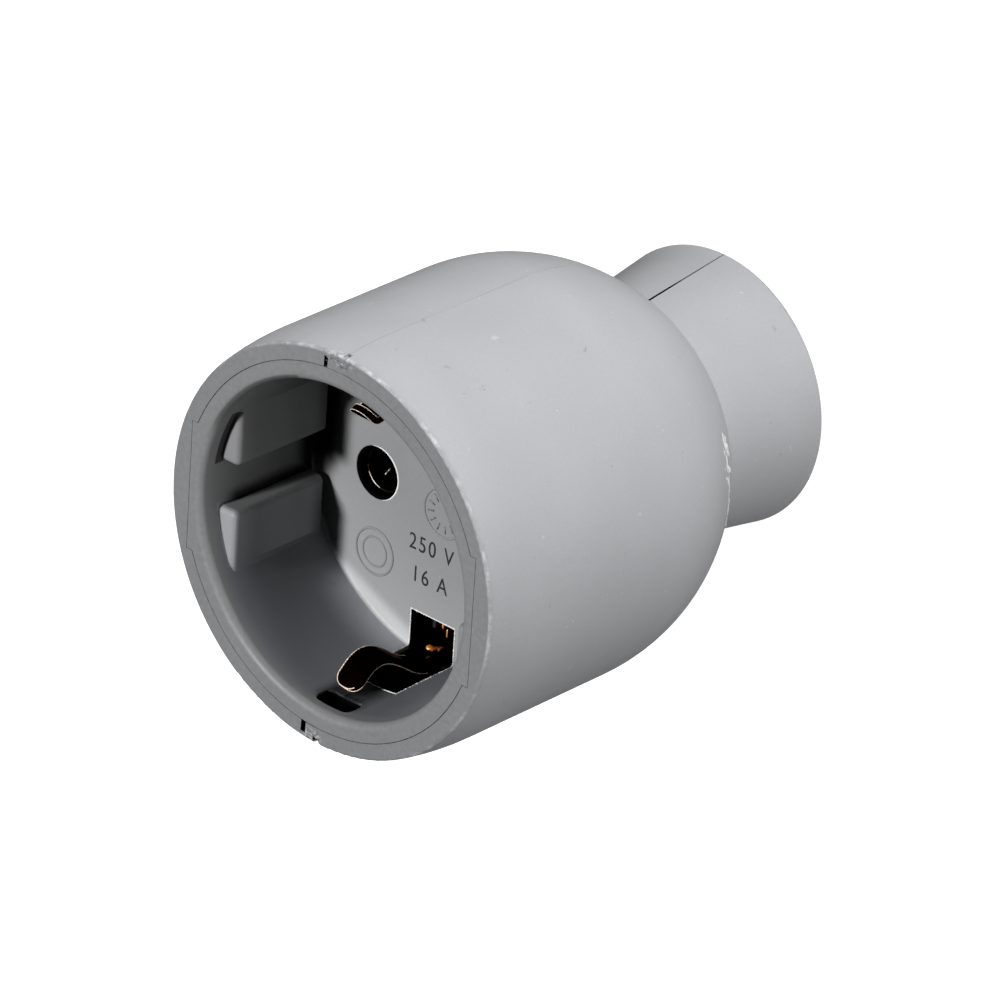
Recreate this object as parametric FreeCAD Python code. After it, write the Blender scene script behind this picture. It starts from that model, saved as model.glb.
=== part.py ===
import FreeCAD, Part
import math
import os

V = FreeCAD.Vector
os.makedirs("parts", exist_ok=True)

# Inline socket connector, two poles with side earth.
# Millimetres. The connector stands on the end of its neck: z = 0 is that end,
# the mouth of the well opens at the top. x runs through the two pin holes,
# y through the two earth springs. The housing splits on the plane x = 0.

# ---------------------------------------------------------------- dimensions
LENGTH = 62.0            # neck end to rim
BODY_R = 24.3            # radius of the body and of its round rear dome
DOME_Z = 33.5            # centre of the dome
FRONT_Z = 55.0           # the body starts to draw in towards the rim here
CREASE_Z = 13.8          # dome meets neck
NECK_R_END = 16.33
EDGE_ROUND = 0.4

SHELL_IN_R = 21.68       # bore of the housing round the cup
NECK_IN_R = 11.6
END_WALL = 3.2
CABLE_R = 5.5
CABLE_LIP = 0.8

WELL_DEPTH = 17.5
WELL_R_TOP = 19.4
WELL_R_FLOOR = 19.1
MOUTH_ROUND = 0.9
CUP_R = 21.62
CUP_FLOOR = 3.0
FLANGE_R = 22.3
FLANGE_T = 1.5
KEY_FLAT = 21.0          # flats at the rim that key the cup in the housing
KEY_HALF = 7.75
KEY_DEPTH = 4.0
KEY_PLAY = 0.06
RIM_BREAK = 0.04         # broken edges along the rim joint
TURN = -1.5              # the cup sits turned a little in the housing, degrees

PIN_X = 9.5              # half the 19 mm pin spacing
PIN_HOLE_R = 2.85
PIN_HOLE_LEAD = 0.35

RIB_X = 16.45
RIB_Y0 = 2.75
RIB_Y1 = 11.2
RIB_FRONT = 2.7          # below the rim
RIB_BACK = 1.15          # clear of the floor
RIB_ROUND = 0.75

SLOT_HALF = 3.3          # earth slot
SLOT_Y = 14.2
WINDOW_Z = 9.0           # height of the wall window above the floor
POCKET_HALF = 2.6        # room for the spring tip near the mouth
POCKET_Z0 = 4.4
POCKET_Z1 = 1.6
POCKET_R = 21.0

LAP_R = 22.95            # lap joint of the housing halves
LAP_TONGUE = (2.3, 1.4)  # tongue length at the top joint and at the bottom joint
LAP_SLOT = (2.85, 2.1)
LAP_Z = 36.0
SEAM = 0.03
SEAM_NECK = (0.1, 0.3)   # gap at the neck's end and at the dome

HOUSING_SCREW_Y = 16.2
HOUSING_SCREW_Z = 30.6
BOSS_R = 4.3
HEAD_SEAT_X = -9.0

FLOOR_Z = LENGTH - WELL_DEPTH
CUP_BACK = FLOOR_Z - CUP_FLOOR

BASE_TOP = CUP_BACK - 0.05
BASE_BOTTOM = 24.6
BASE_X = 14.6
BASE_Y = 9.4
SLEEVE_R = 2.9
SLEEVE_IN = 2.3
SLEEVE_TOP = 41.2
SLEEVE_BOTTOM = 25.0
BASE_SCREW = (5.4, 6.3)

STRIP_T = 0.8            # earth strip
STRIP_W = 3.2
CROSS_Z = 39.9
CROSS_HALF = 20.0

CLAMP_Y = 6.4
CLAMP_Z = 9.2


# ------------------------------------------------------------------- helpers
def line(a, b):
    return Part.LineSegment(V(a[0], 0, a[1]), V(b[0], 0, b[1])).toShape()


def arc(a, m, b):
    return Part.Arc(V(a[0], 0, a[1]), V(m[0], 0, m[1]), V(b[0], 0, b[1])).toShape()


def round_mid(cx, cz, r, deg):
    t = math.radians(deg)
    return (cx + r * math.cos(t), cz + r * math.sin(t))


def spin(edges):
    face = Part.Face(Part.Wire(edges))
    return face.revolve(V(0, 0, 0), V(0, 0, 1), 360)


def box(x0, x1, y0, y1, z0, z1):
    return Part.makeBox(x1 - x0, y1 - y0, z1 - z0, V(x0, y0, z0))


def cyl(r, z0, z1, x=0.0, y=0.0):
    return Part.makeCylinder(r, z1 - z0, V(x, y, z0), V(0, 0, 1))


def cyl_x(r, x0, x1, y, z):
    return Part.makeCylinder(r, x1 - x0, V(x0, y, z), V(1, 0, 0))


def cyl_y(r, y0, y1, x, z):
    return Part.makeCylinder(r, y1 - y0, V(x, y0, z), V(0, 1, 0))


def hexagon_x(flats, x0, x1, y, z):
    rad = flats / math.sqrt(3.0)
    p = [V(x0, y + rad * math.cos(math.radians(60 * i)), z + rad * math.sin(math.radians(60 * i)))
         for i in range(7)]
    return Part.Face(Part.makePolygon(p)).extrude(V(x1 - x0, 0, 0))


def fuse(shapes):
    out = shapes[0]
    for s in shapes[1:]:
        out = out.fuse(s)
    return out.removeSplitter()


def cut(shape, tools):
    for t in tools:
        shape = shape.cut(t)
    return shape


def solid_of(shape):
    solids = shape.Solids
    if len(solids) == 1:
        return solids[0]
    return max(solids, key=lambda s: s.Volume)


def save(name, shape, expected=1):
    solids = shape.Solids
    if expected == 1:
        shape = solid_of(shape)
    else:
        shape = Part.makeCompound(solids)
    print(name, "solids", len(solids), "volume %.1f" % shape.Volume, "valid", shape.isValid())
    if len(solids) != expected:
        print("  expected", expected, [round(s.Volume, 2) for s in solids])
    shape.exportStep("parts/%s.step" % name)


# ------------------------------------------------------------- outer envelope
def on_circle(r, z):
    return (math.sqrt(r * r - (z - DOME_Z) ** 2), z)


crease_r = on_circle(BODY_R, CREASE_Z)[0]
neck_slope = (NECK_R_END - crease_r) / CREASE_Z
foot = EDGE_ROUND
foot_r = NECK_R_END - neck_slope * foot
front_drop = BODY_R - 23.66
front_run = 61.65 - FRONT_Z
front_big = (front_drop ** 2 + front_run ** 2) / (2 * front_drop)
front_mid_z = FRONT_Z + front_run / 2
front_mid_r = BODY_R - front_big + math.sqrt(front_big ** 2 - (front_run / 2) ** 2)
rim_a = (23.66, 61.65)
rim_b = (23.28, LENGTH)

# --------------------------------------------------------------- housing section
neck_in_z = DOME_Z - math.sqrt(SHELL_IN_R ** 2 - NECK_IN_R ** 2)
groove_lo = CUP_BACK - 0.1
groove_hi = CUP_BACK + FLANGE_T + 0.1
GROOVE_R = FLANGE_R + 0.1
lip_r = CABLE_R + CABLE_LIP
section = [
    line((lip_r, 0), (NECK_R_END - foot, 0)),
    arc((NECK_R_END - foot, 0), (NECK_R_END - 0.13, 0.13), (foot_r, foot)),
    line((foot_r, foot), (crease_r, CREASE_Z)),
    arc((crease_r, CREASE_Z), on_circle(BODY_R, 23.0), (BODY_R, DOME_Z)),
    line((BODY_R, DOME_Z), (BODY_R, FRONT_Z)),
    arc((BODY_R, FRONT_Z), (front_mid_r, front_mid_z), rim_a),
    arc(rim_a, (23.56, 61.89), rim_b),
    line(rim_b, (SHELL_IN_R + RIM_BREAK, LENGTH)),
    line((SHELL_IN_R + RIM_BREAK, LENGTH), (SHELL_IN_R, LENGTH - RIM_BREAK)),
    line((SHELL_IN_R, LENGTH - RIM_BREAK), (SHELL_IN_R, groove_hi)),
    line((SHELL_IN_R, groove_hi), (GROOVE_R, groove_hi)),
    line((GROOVE_R, groove_hi), (GROOVE_R, groove_lo)),
    line((GROOVE_R, groove_lo), (SHELL_IN_R, groove_lo)),
    line((SHELL_IN_R, groove_lo), (SHELL_IN_R, DOME_Z)),
    arc((SHELL_IN_R, DOME_Z), on_circle(SHELL_IN_R, 23.0), (NECK_IN_R, neck_in_z)),
    line((NECK_IN_R, neck_in_z), (NECK_IN_R, END_WALL)),
    line((NECK_IN_R, END_WALL), (CABLE_R, END_WALL)),
    line((CABLE_R, END_WALL), (CABLE_R, CABLE_LIP)),
    arc((CABLE_R, CABLE_LIP), round_mid(lip_r, CABLE_LIP, CABLE_LIP, 225), (lip_r, 0)),
]
section_face = Part.Face(Part.Wire(Part.__sortEdges__(section)))


def half_housing(start_deg):
    f = section_face.copy()
    f.rotate(V(0, 0, 0), V(0, 0, 1), start_deg)
    half = f.revolve(V(0, 0, 0), V(0, 0, 1), 180)
    if half.Volume < 0:
        half.reverse()
    return half


# the housing follows the cup's flats: room for the corners, a land behind each flat
def key_room(sx):
    x0, x1 = sorted((sx * 10.0, sx * (KEY_FLAT + KEY_PLAY)))
    w = KEY_HALF + KEY_PLAY
    return box(x0, x1, -w, w, LENGTH - KEY_DEPTH - 0.1, LENGTH + 1)


def key_land(sx):
    x0, x1 = sorted((sx * (KEY_FLAT + KEY_PLAY), sx * 30.0))
    return cyl(SHELL_IN_R + 0.4, LENGTH - KEY_DEPTH + 0.1, LENGTH).common(
        box(x0, x1, -KEY_HALF, KEY_HALF, LENGTH - KEY_DEPTH, LENGTH))


# trims what is added inside to the middle of the wall
MID_R = 23.0
mid_wall = spin([
    arc((MID_R, DOME_Z), on_circle(MID_R, 18.0), (0, DOME_Z - MID_R)),
    line((0, DOME_Z - MID_R), (0, 40)),
    line((0, 40), (MID_R, 40)),
    line((MID_R, 40), (MID_R, DOME_Z)),
])

# ---------------------------------------------------------------- lap joint
top_z = LENGTH + 1
lap_wall = cyl(LAP_R, LAP_Z, LENGTH).cut(cyl(SHELL_IN_R, LAP_Z - 1, top_z))
lap_wall = lap_wall.cut(cyl(GROOVE_R, groove_lo, groove_hi))
socket_tube = cyl(LAP_R + 0.06, LAP_Z - 0.1, top_z)
LAP_SIDES = ((15, 30), (-30, -15))
tongues = [lap_wall.common(box(-t, 0, y0, y1, LAP_Z, top_z)) for t, (y0, y1) in zip(LAP_TONGUE, LAP_SIDES)]
lap_rooms = [socket_tube.common(box(-t, 1, y0, y1, LAP_Z - 0.1, top_z)) for t, (y0, y1) in zip(LAP_SLOT, LAP_SIDES)]


# pry notches: the outer skin steps back where the halves meet at the rim
def notch(y0, y1, depth, wide, tall):
    s = 1 if y0 > 0 else -1
    pts = [V(-0.25, 0, 0), V(0.35, 0, 0), V(wide, s * depth, 0), V(wide + 0.25, s * 3, 0),
           V(-0.25, s * 3, 0), V(-0.25, 0, 0)]
    prism = Part.Face(Part.makePolygon(pts)).extrude(V(0, 0, tall + 1))
    prism.translate(V(0, y0, LENGTH - tall))
    return prism


notch_low = notch(-22.9, -26, 0.6, 0.9, 3.2)
notch_top = notch(23.45, 26, 0.12, 0.35, 1.0)

shell_right = half_housing(-90)
shell_right = fuse([shell_right] + tongues)
shell_right = cut(shell_right, [notch_low, notch_top])
shell_left = half_housing(90)
shell_left = cut(shell_left, [box(-SEAM, 1, -40, 40, -1, top_z)] + lap_rooms)
neck_gap = Part.Face(Part.makePolygon([
    V(-SEAM_NECK[0], -40, -0.5), V(-SEAM_NECK[1], -40, CREASE_Z + 0.3), V(1, -40, CREASE_Z + 0.3),
    V(1, -40, -0.5), V(-SEAM_NECK[0], -40, -0.5)])).extrude(V(0, 80, 0))
shell_left = shell_left.cut(neck_gap)
shell_left = cut(shell_left, [notch_low, notch_top])

# ------------------------------------------------------- housing screw bosses
for s in (1, -1):
    y = s * HOUSING_SCREW_Y
    z = HOUSING_SCREW_Z
    shell_right = shell_right.fuse(cyl_x(BOSS_R, 0, 22, y, z).common(mid_wall))
    shell_left = shell_left.fuse(cyl_x(BOSS_R, -22, 0, y, z).common(mid_wall))
    shell_left = shell_left.cut(box(-SEAM, 1, *sorted((s * 20.6, s * 40)), z - 6, z + 6))
for s in (1, -1):
    y = s * HOUSING_SCREW_Y
    z = HOUSING_SCREW_Z
    shell_right = cut(shell_right, [cyl_x(1.6, -0.1, 11.0, y, z), hexagon_x(5.6, -0.1, 2.6, y, z)])
    shell_left = cut(shell_left, [cyl_x(1.7, -22, 1, y, z), cyl_x(3.3, -25, HEAD_SEAT_X, y, z)])

# cord clamp posts and cradle in the right half
neck_room = cyl(NECK_IN_R + 0.4, END_WALL + 0.2, CREASE_Z)
posts = [cyl_x(2.1, -2.6, 12.0, s * CLAMP_Y, CLAMP_Z).common(neck_room) for s in (1, -1)]
cradle = box(3.0, 12.0, -6.0, 6.0, CLAMP_Z - 2.0, CLAMP_Z + 2.0).common(neck_room)
cradle = cradle.cut(cyl(4.2, 0, CREASE_Z + 4))
shell_right = fuse([shell_right, cradle] + posts)
shell_right = cut(shell_right, [cyl_x(1.2, -2.7, 6.0, s * CLAMP_Y, CLAMP_Z) for s in (1, -1)])


# turned to the angle at which the housing stands against the cup
def turned(shape):
    out = shape.copy()
    out.rotate(V(0, 0, 0), V(0, 0, 1), TURN)
    return out


shell_right = fuse([turned(shell_right).cut(key_room(1)), key_land(1)])
shell_left = fuse([turned(shell_left).cut(key_room(-1)), key_land(-1)])

# --------------------------------------------------------------- socket cup
m = MOUTH_ROUND
wall_top = LENGTH - m
cup = spin([
    line((0, CUP_BACK), (FLANGE_R, CUP_BACK)),
    line((FLANGE_R, CUP_BACK), (FLANGE_R, CUP_BACK + FLANGE_T)),
    line((FLANGE_R, CUP_BACK + FLANGE_T), (CUP_R, CUP_BACK + FLANGE_T)),
    line((CUP_R, CUP_BACK + FLANGE_T), (CUP_R, LENGTH - RIM_BREAK)),
    line((CUP_R, LENGTH - RIM_BREAK), (CUP_R - RIM_BREAK, LENGTH)),
    line((CUP_R - RIM_BREAK, LENGTH), (WELL_R_TOP + m, LENGTH)),
    arc((WELL_R_TOP + m, LENGTH), round_mid(WELL_R_TOP + m, wall_top, m, 135), (WELL_R_TOP, wall_top)),
    line((WELL_R_TOP, wall_top), (WELL_R_FLOOR, FLOOR_Z + 0.4)),
    arc((WELL_R_FLOOR, FLOOR_Z + 0.4), round_mid(WELL_R_FLOOR - 0.4, FLOOR_Z + 0.4, 0.4, -45),
        (WELL_R_FLOOR - 0.4, FLOOR_Z)),
    line((WELL_R_FLOOR - 0.4, FLOOR_Z), (0, FLOOR_Z)),
    line((0, FLOOR_Z), (0, CUP_BACK)),
])
keys = []
for s in (1, -1):
    xa, xb = sorted((s * 15.0, s * KEY_FLAT))
    block = box(xa, xb, -KEY_HALF, KEY_HALF, LENGTH - KEY_DEPTH, LENGTH)
    keys.append(block.cut(cyl(CUP_R - 0.9, LENGTH - KEY_DEPTH - 1, LENGTH + 1)))
    xa, xb = sorted((s * KEY_FLAT, s * 30.0))
    cup = cup.cut(box(xa, xb, -KEY_HALF, KEY_HALF, LENGTH - KEY_DEPTH, LENGTH + 1))


def rib(sx, sy):
    blank = box(RIB_X, CUP_R, RIB_Y0, RIB_Y1, FLOOR_Z + RIB_BACK, LENGTH - RIB_FRONT)
    soft = []
    for e in blank.Edges:
        c = e.CenterOfMass
        upright = abs(c.x - RIB_X) < 1e-6 and abs(c.y - RIB_Y0) < 1e-6
        front_in = abs(c.x - RIB_X) < 1e-6 and abs(c.z - (LENGTH - RIB_FRONT)) < 1e-6
        front_side = abs(c.y - RIB_Y0) < 1e-6 and abs(c.z - (LENGTH - RIB_FRONT)) < 1e-6
        if upright or front_in or front_side:
            soft.append(e)
    blank = blank.makeFillet(RIB_ROUND, soft)
    blank = blank.common(cyl(CUP_R - 0.6, 0, LENGTH))
    if sx < 0:
        blank = blank.mirror(V(0, 0, 0), V(1, 0, 0))
    if sy < 0:
        blank = blank.mirror(V(0, 0, 0), V(0, 1, 0))
    return blank


ribs = [rib(sx, sy) for sx in (1, -1) for sy in (1, -1)]
cup_posts = [cyl(2.2, 34.2, CUP_BACK + 0.5, s * BASE_SCREW[0], s * BASE_SCREW[1]) for s in (1, -1)]
cup = fuse([cup] + keys + ribs + cup_posts)
tools = []
for s in (1, -1):
    tools.append(cyl(PIN_HOLE_R, CUP_BACK - 1, FLOOR_Z + 1, s * PIN_X))
    tools.append(Part.makeCone(PIN_HOLE_R, PIN_HOLE_R + PIN_HOLE_LEAD + 0.1, PIN_HOLE_LEAD + 0.1,
                               V(s * PIN_X, 0, FLOOR_Z - PIN_HOLE_LEAD), V(0, 0, 1)))
    ya, yb = sorted((s * SLOT_Y, s * 23.0))
    tools.append(box(-SLOT_HALF, SLOT_HALF, ya, yb, CUP_BACK - 1, FLOOR_Z + WINDOW_Z))
    ya, yb = sorted((s * 18.0, s * POCKET_R))
    pocket = box(-POCKET_HALF, POCKET_HALF, ya, yb, LENGTH - POCKET_Z0, LENGTH - POCKET_Z1)
    corners = [e for e in pocket.Edges if abs(abs(e.CenterOfMass.x) - POCKET_HALF) < 1e-6
               and e.CenterOfMass.z > LENGTH - POCKET_Z1 - 1e-6 or
               abs(abs(e.CenterOfMass.x) - POCKET_HALF) < 1e-6
               and abs(e.CenterOfMass.z - (LENGTH - POCKET_Z0)) < 1e-6]
    corners = [e for e in corners if abs(e.Vertexes[0].Point.y - e.Vertexes[-1].Point.y) > 1.0]
    tools.append(pocket.makeFillet(0.9, corners))
    tools.append(cyl(1.05, 35.0, 41.0, s * BASE_SCREW[0], s * BASE_SCREW[1]))
    tools.append(cyl(1.05, 34.0, 36.0, s * BASE_SCREW[0], s * BASE_SCREW[1]))
socket_cup = cut(cup, tools)

# ------------------------------------------------------------- earth bracket
half_w = STRIP_W / 2.0


def arm(inner, sy):
    # inner: points of the inner face, from the slot to the tip, as (distance from axis, z)
    pts = [V(0, p[0], p[1]) for p in inner]
    mid = Part.BSplineCurve()
    mid.interpolate(Points=pts, InitialTangent=V(0, 0, 3))
    n = 28
    u0, u1 = mid.FirstParameter, mid.LastParameter
    front, back = [], []
    for i in range(n + 1):
        u = u0 + (u1 - u0) * i / n
        p = mid.value(u)
        t = mid.tangent(u)[0]
        out = V(0, t.z, -t.y)
        if out.y < 0:
            out = out * -1
        front.append(p)
        back.append(p + out * STRIP_T)
    a = Part.BSplineCurve()
    a.interpolate(Points=front)
    b = Part.BSplineCurve()
    b.interpolate(Points=back)
    foot_in = V(0, front[0].y, CROSS_Z)
    foot_out = V(0, back[0].y, CROSS_Z)
    edges = [a.toShape(), Part.LineSegment(front[-1], back[-1]).toShape(), b.toShape(),
             Part.LineSegment(back[0], foot_out).toShape(), Part.LineSegment(foot_out, foot_in).toShape(),
             Part.LineSegment(foot_in, front[0]).toShape()]
    strip = Part.Face(Part.Wire(Part.__sortEdges__(edges))).extrude(V(STRIP_W, 0, 0))
    strip.translate(V(-half_w, 0, 0))
    tip = (front[-1] + back[-1]) * 0.5
    ends = [e for e in strip.Edges
            if abs(abs(e.CenterOfMass.x) - half_w) < 1e-6
            and (V(0, e.CenterOfMass.y, e.CenterOfMass.z) - tip).Length < 0.05]
    strip = strip.makeFillet(half_w - 0.25, ends)
    if sy < 0:
        strip = strip.mirror(V(0, 0, 0), V(0, 1, 0))
    return strip


LOWER_ARM = [(19.2, 45.5), (18.25, 48.1), (17.2, 49.6), (16.3, 51.0), (15.6, 52.5), (15.4, 53.9),
             (15.8, 55.35), (16.7, 56.5), (17.6, 57.4), (18.1, 57.85)]
UPPER_ARM = [(19.2, 45.5), (18.4, 48.6), (17.3, 51.4), (16.2, 54.0), (15.2, 56.3), (14.9, 57.4),
             (15.25, 58.3), (15.9, 58.9), (16.3, 59.15)]
cross = box(-half_w, half_w, -CROSS_HALF, CROSS_HALF, CROSS_Z, CROSS_Z + STRIP_T)
tab = box(-half_w, half_w, -STRIP_T / 2, STRIP_T / 2, 18.4, CROSS_Z + STRIP_T)
earth_bracket = fuse([cross, tab, arm(LOWER_ARM, -1), arm(UPPER_ARM, 1)])
soft = []
for e in earth_bracket.Edges:
    c = e.CenterOfMass
    if abs(c.x) < 1e-6 and abs(abs(c.y) - CROSS_HALF) < 1e-6 and abs(c.z - CROSS_Z) < 1e-6:
        soft.append(e)
if soft:
    earth_bracket = earth_bracket.makeFillet(0.7, soft)

# -------------------------------------------------------------- contact base
base = box(-BASE_X, BASE_X, -BASE_Y, BASE_Y, BASE_BOTTOM, BASE_TOP)
base = base.makeFillet(3.0, [e for e in base.Edges if abs(e.Vertexes[0].Point.z - e.Vertexes[-1].Point.z) > 5])
walls = [box(s * 4.7 - 0.6, s * 4.7 + 0.6, -7.0, 7.0, 17.6, BASE_BOTTOM + 0.5) for s in (1, -1)]
wing = box(-3.2, 3.2, -17.4, 17.4, 37.2, BASE_TOP)
base = fuse([base, wing] + walls)
tools = []
for s in (1, -1):
    tools.append(cyl(3.4, BASE_BOTTOM - 1, BASE_TOP + 1, s * PIN_X))
    tools.append(cyl(2.35, 34.1, BASE_TOP + 1, s * BASE_SCREW[0], s * BASE_SCREW[1]))
    tools.append(cyl(1.35, BASE_BOTTOM - 1, 35, s * BASE_SCREW[0], s * BASE_SCREW[1]))
    tools.append(cyl(2.5, BASE_BOTTOM - 1, 27.0, s * BASE_SCREW[0], s * BASE_SCREW[1]))
tools.append(box(-half_w - 0.75, half_w + 0.75, -30, 30, CROSS_Z - 0.05, BASE_TOP + 1))
tools.append(box(-half_w - 0.15, half_w + 0.15, -STRIP_T / 2 - 0.15, STRIP_T / 2 + 0.15, 15, BASE_TOP + 1))
contact_base = cut(base, tools)


# ------------------------------------------------------- pin sleeves and rings
def sleeve(sx):
    x = sx * PIN_X
    body_ = cyl(SLEEVE_R, SLEEVE_BOTTOM, SLEEVE_TOP, x).cut(cyl(SLEEVE_IN, SLEEVE_BOTTOM + 1.2, SLEEVE_TOP + 1, x))
    lead = Part.makeCone(SLEEVE_IN, SLEEVE_R - 0.15, 0.8, V(x, 0, SLEEVE_TOP - 0.75), V(0, 0, 1))
    slit = box(x - 5, x + 5, -0.35, 0.35, 29.0, SLEEVE_TOP + 1)
    stem = cyl(1.8, 21.5, SLEEVE_BOTTOM + 0.2, x)
    return fuse([cut(body_, [lead, slit]), stem])


def ring(sx):
    x = sx * PIN_X
    r = cyl(3.25, 36.2, 38.6, x).cut(cyl(2.93, 36.0, 39.0, x))
    gap = box(x - 1.0, x + 1.0, 0, 5, 36.0, 39.0)
    return r.cut(gap)


def pillar(x, half_x, half_y, z0, z1, screw_z, stem_r, stem_depth):
    block = box(x - half_x, x + half_x, -half_y, half_y, z0, z1)
    block = block.makeChamfer(0.3, [e for e in block.Edges if abs(e.Length - (z1 - z0)) < 1e-6])
    t = [cyl(1.55, z0 - 1, z1 - 3.2, x), cyl_y(1.4, 0, half_y + 1, x, screw_z)]
    if stem_r:
        t.append(cyl(stem_r + 0.02, z1 - stem_depth, z1 + 1, x))
    return cut(block, t)


live_contact = sleeve(1)
neutral_contact = sleeve(-1)
live_sleeve_spring = ring(1)
neutral_sleeve_spring = ring(-1)
TERM_TOP = 24.5
TERM_BOTTOM = 17.4
TERM_SCREW_Z = 19.4
live_terminal = pillar(PIN_X, 3.1, 3.4, TERM_BOTTOM, TERM_TOP, TERM_SCREW_Z, 1.8, 3.1)
neutral_terminal = pillar(-PIN_X, 3.1, 3.4, TERM_BOTTOM, TERM_TOP, TERM_SCREW_Z, 1.8, 3.1)
# the earth block sits on the front of the tab
earth_block = box(-3.0, 3.0, STRIP_T / 2 + 0.02, 6.6, 16.6, 22.4)
earth_block = earth_block.makeChamfer(0.3, [e for e in earth_block.Edges if abs(e.Length - 5.8) < 1e-6])
earth_terminal = cut(earth_block, [cyl(1.5, 15, 23, 0, 3.4), cyl_y(1.4, 3.4, 8, 0, 19.4)])


# --------------------------------------------------------------- fasteners
def screw_y(x, y_tip, y_head, z):
    s = cyl_y(1.38, y_tip, y_head + 0.1, x, z)
    head = cyl_y(2.3, y_head, y_head + 1.8, x, z)
    head = head.makeFillet(0.35, [e for e in head.Edges if abs(e.CenterOfMass.y - y_head - 1.8) < 1e-6
                                  and len(e.Vertexes) == 1])
    drive = box(x - 3, x + 3, y_head + 1.0, y_head + 3, z - 0.35, z + 0.35)
    return fuse([s, head]).cut(drive)


terminal_screws = [screw_y(PIN_X, 1.3, 4.2, TERM_SCREW_Z), screw_y(-PIN_X, 1.3, 4.2, TERM_SCREW_Z),
                   screw_y(0.0, 4.4, 7.2, 19.4)]


def base_screw(s):
    x, y = s * BASE_SCREW[0], s * BASE_SCREW[1]
    shank = cyl(1.04, 26.5, 39.6, x, y)
    head = cyl(2.2, 25.2, 27.0, x, y)
    cross_a = box(x - 1.3, x + 1.3, y - 0.3, y + 0.3, 25.0, 26.1)
    cross_b = box(x - 0.3, x + 0.3, y - 1.3, y + 1.3, 25.0, 26.1)
    return cut(fuse([shank, head]), [cross_a, cross_b])


base_screws = [base_screw(1), base_screw(-1)]


def housing_screw(s):
    y, z = s * HOUSING_SCREW_Y, HOUSING_SCREW_Z
    shank = cyl_x(1.5, HEAD_SEAT_X - 0.2, 8.0, y, z)
    head = cyl_x(2.9, HEAD_SEAT_X - 2.2, HEAD_SEAT_X, y, z)
    head = head.makeFillet(0.6, [e for e in head.Edges if abs(e.CenterOfMass.x - HEAD_SEAT_X + 2.2) < 1e-6
                                 and len(e.Vertexes) == 1])
    ca = box(HEAD_SEAT_X - 3, HEAD_SEAT_X - 0.9, y - 1.7, y + 1.7, z - 0.38, z + 0.38)
    cb = box(HEAD_SEAT_X - 3, HEAD_SEAT_X - 0.9, y - 0.38, y + 0.38, z - 1.7, z + 1.7)
    return cut(fuse([shank, head]), [ca, cb])


def housing_nut(s):
    y, z = s * HOUSING_SCREW_Y, HOUSING_SCREW_Z
    return hexagon_x(5.5, 0.1, 2.5, y, z).cut(cyl_x(1.52, -1, 4, y, z))


housing_screws = [housing_screw(1), housing_screw(-1)]
housing_nuts = [housing_nut(1), housing_nut(-1)]

# ---------------------------------------------------------------- cord clamp
bar = box(-6.0, -2.62, -8.6, 8.6, CLAMP_Z - 2.8, CLAMP_Z + 2.8)
bar = bar.makeFillet(1.2, [e for e in bar.Edges if abs(e.CenterOfMass.x + 6.0) < 1e-6 and e.Length > 6]
                     + [e for e in bar.Edges if abs(e.Length - 3.38) < 1e-6])
cord_clamp_bar = cut(bar, [cyl(4.0, 0, 20)] + [cyl_x(1.35, -10, 0, s * CLAMP_Y, CLAMP_Z) for s in (1, -1)])


def clamp_screw(s):
    y = s * CLAMP_Y
    shank = cyl_x(1.18, -6.1, 5.2, y, CLAMP_Z)
    head = cyl_x(1.9, -7.5, -6.02, y, CLAMP_Z)
    ca = box(-8, -6.8, y - 1.2, y + 1.2, CLAMP_Z - 0.3, CLAMP_Z + 0.3)
    cb = box(-8, -6.8, y - 0.3, y + 0.3, CLAMP_Z - 1.2, CLAMP_Z + 1.2)
    return cut(fuse([shank, head]), [ca, cb])


cord_clamp_screws = [clamp_screw(1), clamp_screw(-1)]

# the bracket and all that the housing carries stand at the housing's angle
earth_bracket = turned(earth_bracket)
earth_terminal = turned(earth_terminal)
terminal_screws[2] = turned(terminal_screws[2])
housing_screws = [turned(k) for k in housing_screws]
housing_nuts = [turned(k) for k in housing_nuts]
cord_clamp_bar = turned(cord_clamp_bar)
cord_clamp_screws = [turned(k) for k in cord_clamp_screws]

# -------------------------------------------------------------------- export
save("shell_right", shell_right)
save("shell_left", shell_left)
save("socket_cup", socket_cup)
save("earth_bracket", earth_bracket)
save("contact_base", contact_base)
save("live_contact", live_contact)
save("neutral_contact", neutral_contact)
save("live_sleeve_spring", live_sleeve_spring)
save("neutral_sleeve_spring", neutral_sleeve_spring)
save("live_terminal", live_terminal)
save("neutral_terminal", neutral_terminal)
save("earth_terminal", earth_terminal)
save("terminal_screws", Part.makeCompound(terminal_screws), 3)
save("base_screws", Part.makeCompound(base_screws), 2)
save("housing_screws", Part.makeCompound(housing_screws), 2)
save("housing_nuts", Part.makeCompound(housing_nuts), 2)
save("cord_clamp_bar", cord_clamp_bar)
save("cord_clamp_screws", Part.makeCompound(cord_clamp_screws), 2)
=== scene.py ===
import math
import random

import bmesh
import bpy
from mathutils import Matrix, Vector


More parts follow.
